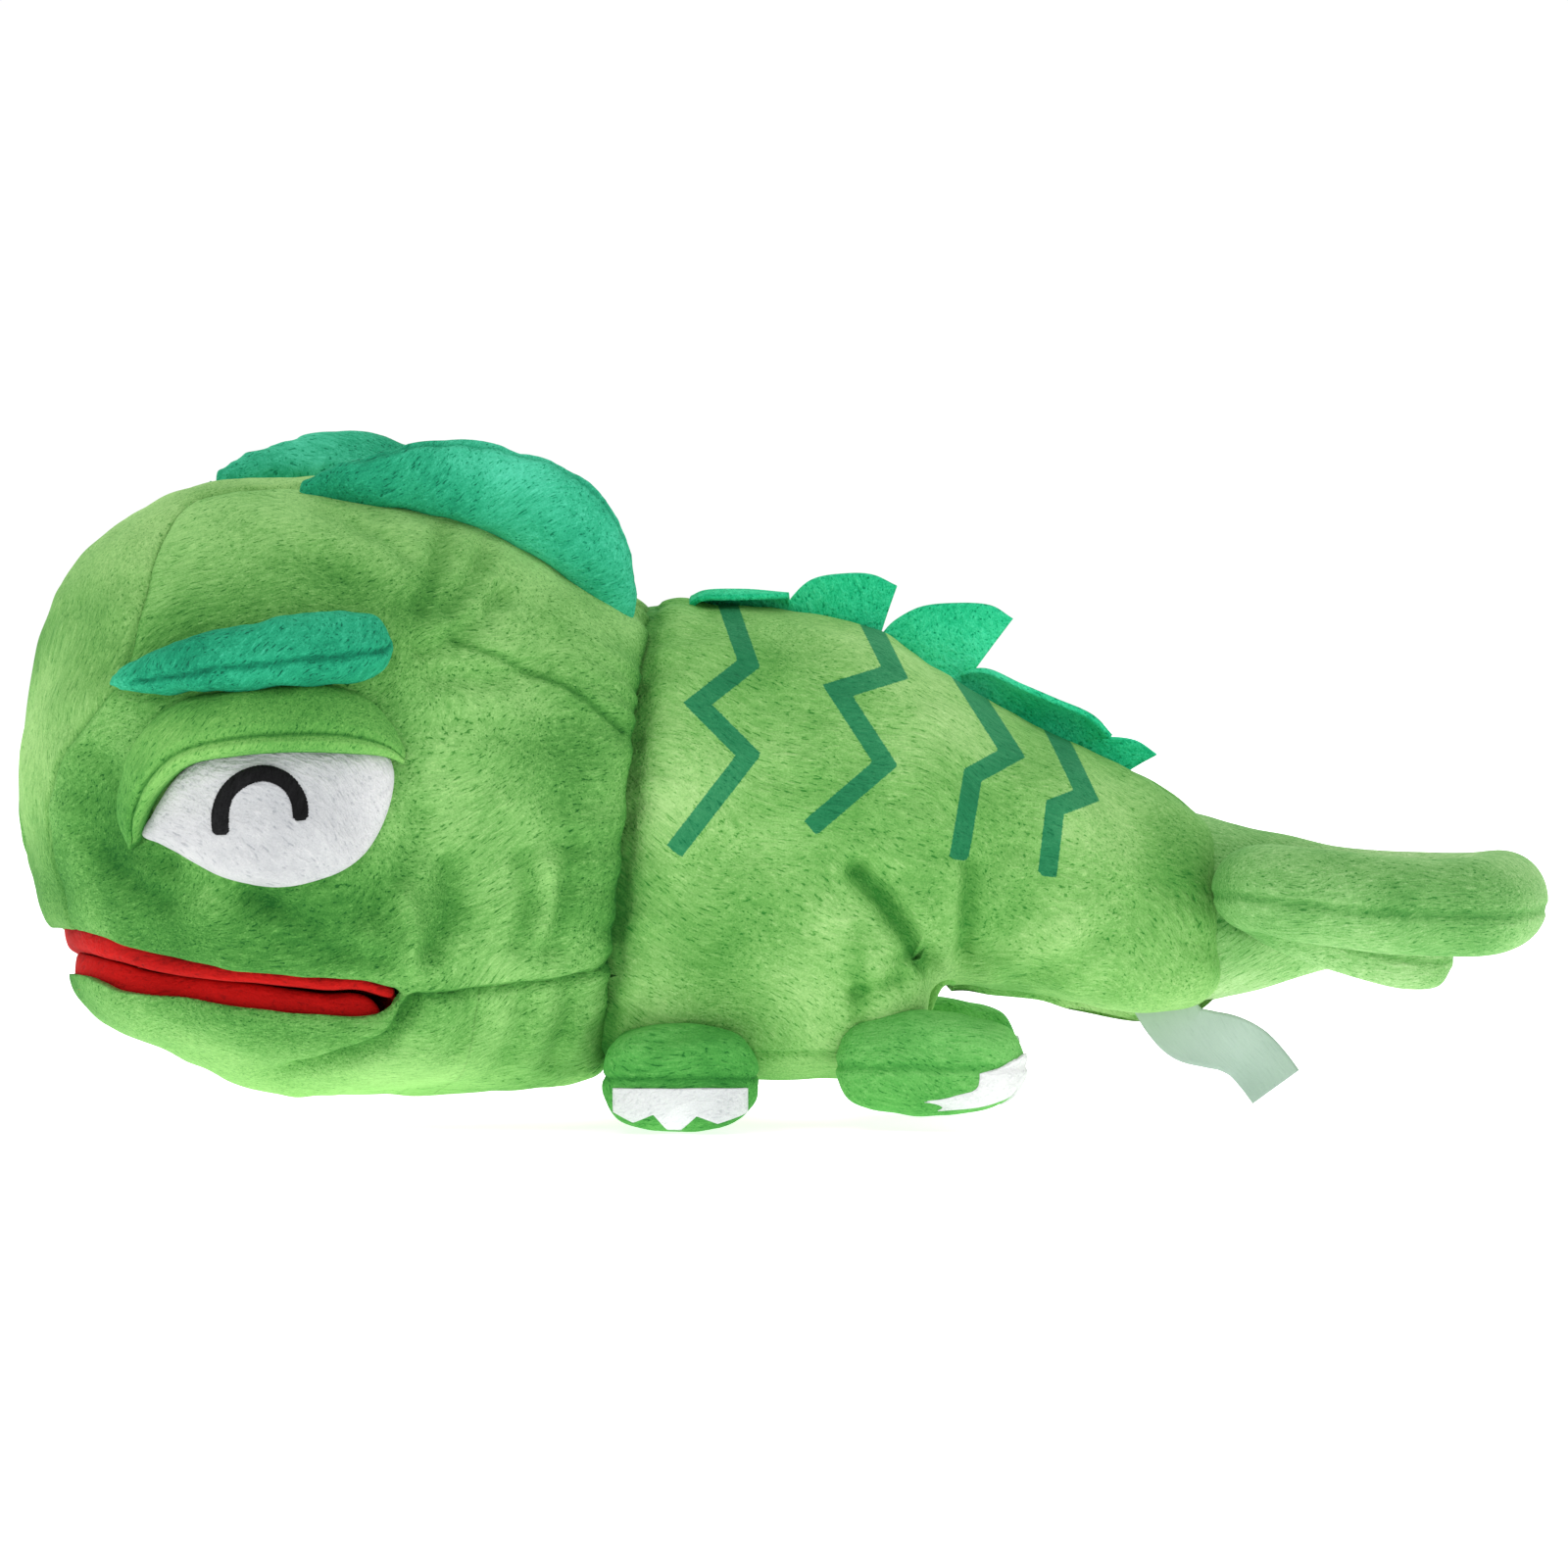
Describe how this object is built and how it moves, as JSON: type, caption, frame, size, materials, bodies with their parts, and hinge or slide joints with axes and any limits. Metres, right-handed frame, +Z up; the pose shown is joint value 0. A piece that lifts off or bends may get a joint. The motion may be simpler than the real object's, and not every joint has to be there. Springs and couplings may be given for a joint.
{
  "type": "mouth-moving lizard hand puppet",
  "caption": "Plush lizard hand puppet: big head with an opening mouth, hollow body with a belly opening for the hand, felt back crest, stub legs and a coiled tail.",
  "frame": {"origin": "middle of the floor under the puppet's bounding box", "axes": "+Z up, the head towards -X and the tail towards +X, the puppet's left side towards -Y; the head is turned 15 degrees to the puppet's left"},
  "size_m": [0.3562, 0.1518, 0.1584],
  "materials": {
    "green_plush": "short plush pile",
    "teal_plush": "short plush pile",
    "green_felt": "felt",
    "red_knit": "brushed knit",
    "white_plush": "short plush pile",
    "black_thread": "embroidery",
    "white_felt": "felt",
    "white_cotton": "plain weave",
    "mouth_card": "plain",
    "satin_ribbon": "satin",
    "fibre_fill": "loose fibre"
  },
  "bodies": {
    "torso": {"body_panel_left": "green_plush", "body_panel_right": "green_plush", "belly_panel": "green_plush", "sleeve_lining": "white_cotton", "opening_hem": "green_plush", "hind_stuffing": "fibre_fill", "spine_crest": "green_felt", "care_label": "satin_ribbon"},
    "neck": {"neck_band": "green_plush"},
    "head": {"head_side_left": "green_plush", "head_side_right": "green_plush", "head_gusset": "green_plush", "throat_panel": "green_plush", "head_stuffing": "fibre_fill", "palate_lining": "red_knit", "upper_mouth_board": "mouth_card", "finger_pocket": "white_cotton", "mouth_fold": "red_knit", "eye_white_left": "white_plush", "eye_white_right": "white_plush", "pupil_left": "black_thread", "pupil_right": "black_thread", "eyelid_left": "green_plush", "eyelid_right": "green_plush", "brow_left": "teal_plush", "brow_right": "teal_plush", "crest_left": "teal_plush", "crest_right": "teal_plush"},
    "jaw": {"chin_panel": "green_plush", "jaw_lining": "red_knit", "lower_mouth_board": "mouth_card", "thumb_loop": "white_cotton", "chin_stuffing": "fibre_fill"},
    "tail": {"tail_skin": "green_plush", "tail_stuffing": "fibre_fill"},
    "front_leg_left": {"front_leg_left": "green_plush", "front_leg_fill_left": "fibre_fill", "front_claws_left": "white_felt"},
    "front_leg_right": {"front_leg_right": "green_plush", "front_leg_fill_right": "fibre_fill", "front_claws_right": "white_felt"},
    "hind_leg_left": {"hind_leg_left": "green_plush", "hind_leg_fill_left": "fibre_fill", "hind_claws_left": "white_felt"},
    "hind_leg_right": {"hind_leg_right": "green_plush", "hind_leg_fill_right": "fibre_fill", "hind_claws_right": "white_felt"}
  },
  "joints": [
    {"name": "neck_turn", "type": "hinge", "parent": "torso", "child": "neck", "pos_m": [-0.03545, 0.01332, 0.0655], "axis": [0, 0, 1], "range_deg": [-18, 6], "stiffness_Nm_per_rad": 1},
    {"name": "neck_nod", "type": "hinge", "parent": "neck", "child": "head", "pos_m": [-0.03545, 0.01332, 0.0655], "axis": [0.2588, -0.9659, 0], "range_deg": [-8, 9], "stiffness_Nm_per_rad": 3, "springref_deg": -1.72},
    {"name": "jaw_open", "type": "hinge", "parent": "head", "child": "jaw", "pos_m": [-0.09341, -0.00221, 0.03], "axis": [0.2588, -0.9659, 0], "range_deg": [-3, 35], "stiffness_Nm_per_rad": 0.3, "springref_deg": -2.29},
    {"name": "front_leg_left_flap", "type": "hinge", "parent": "torso", "child": "front_leg_left", "pos_m": [-0.02095, -0.02068, 0.02], "axis": [-1, 0, 0], "range_deg": [-10, 12], "stiffness_Nm_per_rad": 0.5},
    {"name": "front_leg_right_flap", "type": "hinge", "parent": "torso", "child": "front_leg_right", "pos_m": [-0.02095, 0.04732, 0.02], "axis": [1, 0, 0], "range_deg": [-10, 12], "stiffness_Nm_per_rad": 0.5},
    {"name": "hind_leg_left_swing", "type": "hinge", "parent": "torso", "child": "hind_leg_left", "pos_m": [0.01755, -0.02668, 0.012], "axis": [0, 0, -1], "range_deg": [-2, 35], "stiffness_Nm_per_rad": 0.3},
    {"name": "hind_leg_right_swing", "type": "hinge", "parent": "torso", "child": "hind_leg_right", "pos_m": [0.01755, 0.05332, 0.012], "axis": [0, 0, 1], "range_deg": [-2, 35], "stiffness_Nm_per_rad": 0.3},
    {"name": "tail_wag", "type": "hinge", "parent": "torso", "child": "tail", "pos_m": [0.10155, 0.01932, 0.047], "axis": [0, 0, 1], "range_deg": [-4, 12], "stiffness_Nm_per_rad": 0.3}
  ]
}
